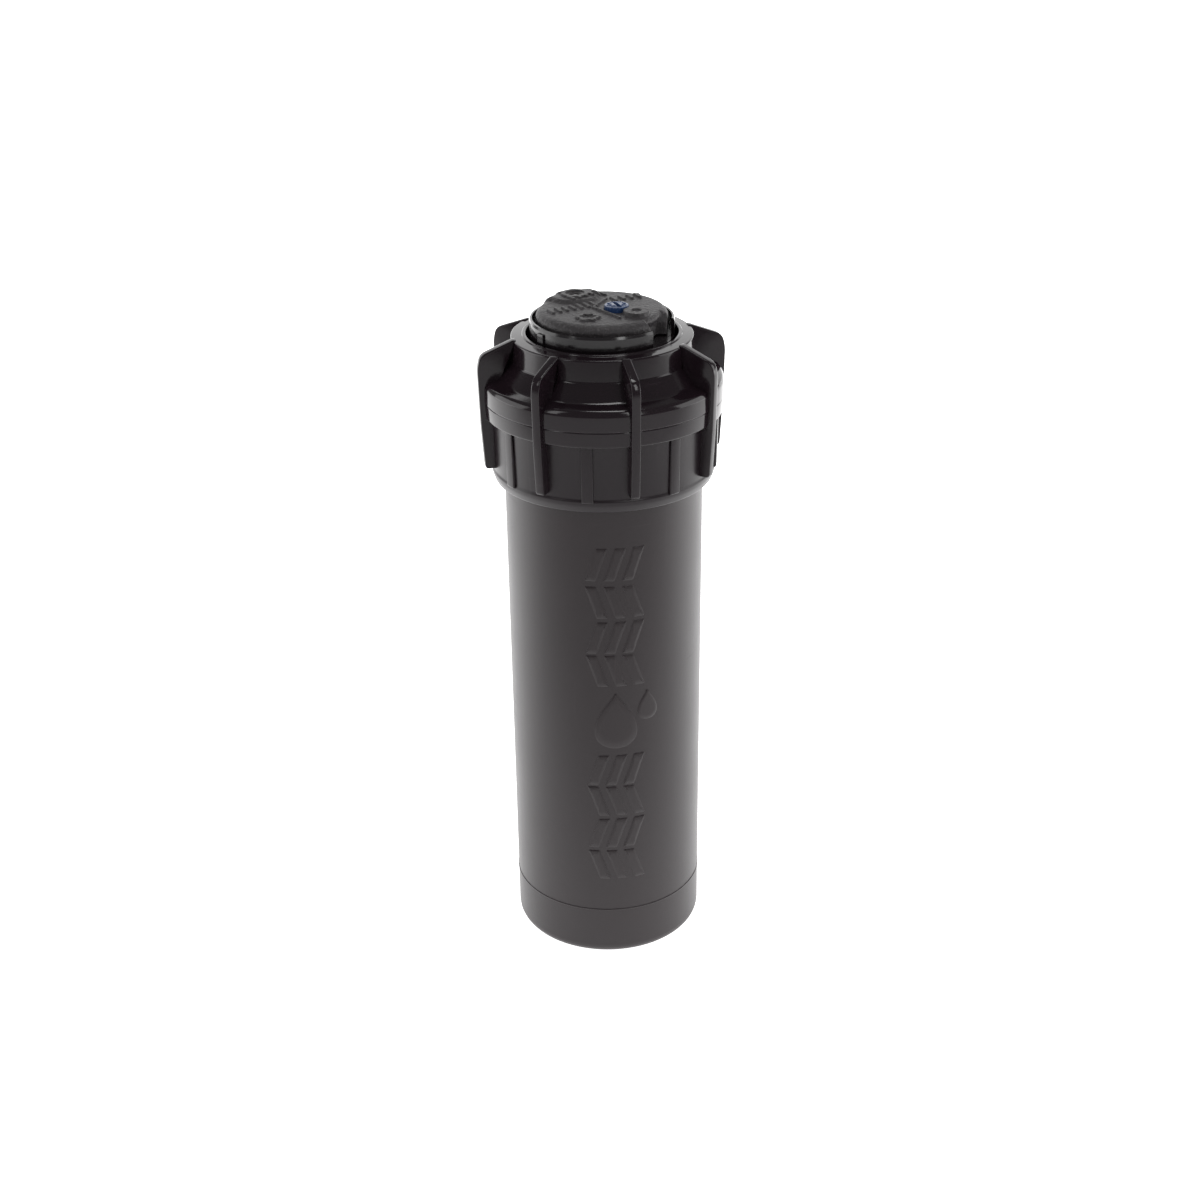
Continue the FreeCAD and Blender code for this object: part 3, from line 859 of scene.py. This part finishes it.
@dataclass
class InletThread:
    """The inlet's female thread: one helical ridge with a trapezium section, 14 turns to the inch."""

    crest: float = 11.75
    root: float = 12.15
    pitch: float = 1.814
    turns: float = 8.2
    start: float = 1.2

    def build(self, finish: bpy.types.Material) -> None:
        """Makes the ridge: a section carried along a helix, fading into the bore at both ends.

        Args:
            finish: the case's plastic.
        """
        steps = int(72 * self.turns)
        t = np.linspace(0.0, 1.0, steps)[:, None]
        fade = step(t / 0.04) * step((1 - t) / 0.04)
        angle = 2 * math.pi * self.turns * t
        section = np.array([(self.root, -0.75), (self.crest, -0.22), (self.crest, 0.22), (self.root, 0.75)])
        r = self.root + (section[None, :, 0] - self.root) * (0.1 + 0.9 * fade)
        z = self.start + self.pitch * self.turns * t + section[None, :, 1]
        made = Surface().grid(polar(r, angle, z))
        made.lid(0, 4).lid((steps - 1) * 4, 4)
        made.put("inlet_thread", finish, Body.CASE, "case_black")


@dataclass
class Studio:
    """A pale floor that glows less towards the front, soft light and the camera."""

    camera_mm: tuple[float, float, float] = (-1.45, -470.0, 327.5)
    pitch: float = 25.68
    roll: float = -0.73
    lens: float = 55.77

    def camera(self) -> None:
        """Sets the camera by its position, pitch below level and roll."""
        p, q = math.radians(self.pitch), math.radians(self.roll)
        ahead = Vector((0.0, math.cos(p), -math.sin(p)))
        side = Vector((1.0, 0.0, 0.0))
        above = side.cross(ahead)
        right = math.cos(q) * side + math.sin(q) * above
        up = -math.sin(q) * side + math.cos(q) * above
        data = bpy.data.cameras.new("camera")
        data.lens, data.sensor_width, data.clip_start = self.lens, 36.0, 0.01
        cam = bpy.data.objects.new("camera", data)
        turn = Matrix((right, up, -ahead)).transposed().to_4x4()
        cam.matrix_world = Matrix.Translation(Vector(self.camera_mm) * MM) @ turn
        bpy.context.scene.collection.objects.link(cam)
        bpy.context.scene.camera = cam

    def area(self, name: str, place: Point, aim: Point, size: tuple[float, float], power: float) -> None:
        """One area light.

        Args:
            name: its name.
            place: where it stands, in metres.
            aim: the point it faces, in metres.
            size: its width and height in metres.
            power: in watts.
        """
        data = bpy.data.lights.new(name, "AREA")
        data.shape, data.size, data.size_y, data.energy = "RECTANGLE", size[0], size[1], power
        lamp = bpy.data.objects.new(name, data)
        lamp.location = place
        lamp.rotation_euler = (Vector(aim) - Vector(place)).to_track_quat("-Z", "Y").to_euler()
        bpy.context.scene.collection.objects.link(lamp)

    def build(self) -> None:
        """Makes the floor, the light and the camera."""
        g = Graph("pale_floor")
        tone = g.colour(g.noise(400.0, 2.0) * 0.2, (0.93, 0.93, 0.93), (0.90, 0.90, 0.90))
        depth = g.node("ShaderNodeSeparateXYZ", {}, {0: g.place}, "Y").ramp(-0.22, 0.12)
        glow = g.colour(depth, (0.16, 0.16, 0.16), (1.0, 1.0, 1.0))
        paper = g.surface({"Base Color": tone, "Roughness": 0.9, "Specular IOR Level": 0.1,
                           "Emission Color": glow, "Emission Strength": 1.65})
        mesh = bpy.data.meshes.new("floor")
        mesh.from_pydata([(-6, -6, 0), (6, -6, 0), (6, 6, 0), (-6, 6, 0)], [], [(0, 1, 2, 3)])
        mesh.materials.append(paper)
        floor = bpy.data.objects.new("floor", mesh)
        bpy.context.scene.collection.objects.link(floor)
        world = bpy.data.worlds.new("soft_white")
        bpy.context.scene.world = world
        world.use_nodes = True
        world.node_tree.nodes["Background"].inputs["Color"].default_value = (1.0, 1.0, 1.0, 1.0)
        world.node_tree.nodes["Background"].inputs["Strength"].default_value = 0.22
        self.area("backdrop", (0.0, 2.2, 0.9), (0.0, 0.0, 0.3), (4.5, 2.2), 45.0)
        self.area("right_wall", (1.6, 0.1, 0.5), (0.0, 0.0, 0.15), (1.2, 1.0), 9.0)
        self.area("left_wall", (-1.6, 0.2, 0.5), (0.0, 0.0, 0.15), (1.2, 1.0), 8.0)
        self.area("key", (0.55, -0.95, 0.85), (0.0, 0.0, 0.12), (0.25, 0.9), 3.2)
        self.area("fill", (-0.8, -0.7, 0.9), (0.0, 0.0, 0.14), (0.2, 0.7), 1.4)
        self.area("top", (0.1, 0.1, 1.3), (0.0, 0.0, 0.15), (0.5, 0.3), 3.0)
        bpy.context.scene.view_settings.view_transform = "Standard"
        self.camera()


class Wardrobe:
    """The finishes, each named for the record's material slot that it dresses."""

    FINISHES: tuple[Union[Plastic, Rubber, Steel], ...] = (
        Plastic("case_black", (0.0110, 0.0062, 0.0078), (0.0175, 0.0105, 0.0128), 0.40, grain_mm=0.30,
                depth_mm=0.016, scratches=0.22, specular=0.46),
        Plastic("cap_black", (0.0075, 0.0042, 0.0060), (0.0135, 0.0082, 0.0112), 0.13, grain_mm=0.5,
                depth_mm=0.004, scratches=0.30, specular=0.36, satin_below=158.8, satin=0.20),
        Plastic("turret_black", (0.0070, 0.0052, 0.0062), (0.012, 0.0095, 0.011), 0.18, grain_mm=0.5,
                depth_mm=0.005, scratches=0.3, coat=0.1),
        Plastic("riser_black", (0.012, 0.012, 0.013), (0.02, 0.02, 0.021), 0.38, grain_mm=0.4,
                depth_mm=0.01, scratches=0.35),
        Plastic("screen_grey", (0.05, 0.05, 0.052), (0.08, 0.08, 0.082), 0.5),
        Plastic("gearbox_black", (0.014, 0.014, 0.015), (0.024, 0.024, 0.025), 0.45),
        Plastic("gear_white", (0.72, 0.70, 0.63), (0.80, 0.78, 0.72), 0.42, grain_mm=0.5, depth_mm=0.01,
                scratches=0.2),
        Plastic("nozzle_grey", (0.09, 0.09, 0.095), (0.14, 0.14, 0.145), 0.42),
        Plastic("screw_blue", (0.008, 0.026, 0.09), (0.020, 0.060, 0.17), 0.34, grain_mm=0.35,
                depth_mm=0.03, scratches=0.5, coat=0.2),
        Rubber("cover_rubber", (0.022, 0.0195, 0.0210), (0.125, 0.115, 0.121), 0.50, grain_mm=0.75,
               depth_mm=0.34),
        Rubber("rubber_black", (0.012, 0.012, 0.012), (0.022, 0.022, 0.022), 0.55),
        Steel("spring_steel", (0.56, 0.56, 0.57), 0.28),
        Steel("pin_steel", (0.62, 0.62, 0.63), 0.22),
    )

    def __init__(self) -> None:
        """Builds every finish once."""
        self.made = {finish.name: finish.material() for finish in self.FINISHES}

    def __getitem__(self, slot: str) -> bpy.types.Material:
        """The material of a slot."""
        return self.made[slot]

    def dress_nodes(self) -> None:
        """Gives each CAD node the finish of its slot."""
        slots = {part["node"]: part["material_slot"] for part in frame["record"]["subparts"]}
        for name, node in frame["nodes"].items():
            for holder in node.material_slots:
                holder.material = self.made[slots[name]]
            LOG.info("%s: %s", name, slots[name])


def main() -> None:
    """Builds the assemblies in order."""
    logging.basicConfig(level=logging.INFO, format="%(message)s")
    finishes = Wardrobe()
    finishes.dress_nodes()
    ScrewCap().build(finishes["cap_black"])
    RubberCover().build(finishes["cover_rubber"])
    AdjustingScrew().build(finishes["screw_blue"])
    CaseRelief().build(finishes["case_black"])
    InletThread().build(finishes["case_black"])
    steel = finishes["spring_steel"]
    Spring("retract_coil", "retract_spring", "pop_up", Body.CASE, radius=20.9, wire=1.4, low=44.6,
           high=163.5, turns=9.0, travel=102.0).build(steel)
    Spring("bypass_coil", "bypass_spring", "bypass_lift", Body.RISER, radius=2.9, wire=0.5, low=44.4,
           high=49.9, turns=4.0, travel=1.5, centre=(6.0, 0.0)).build(steel)
    Studio().build()


if __name__ == "__main__":
    main()
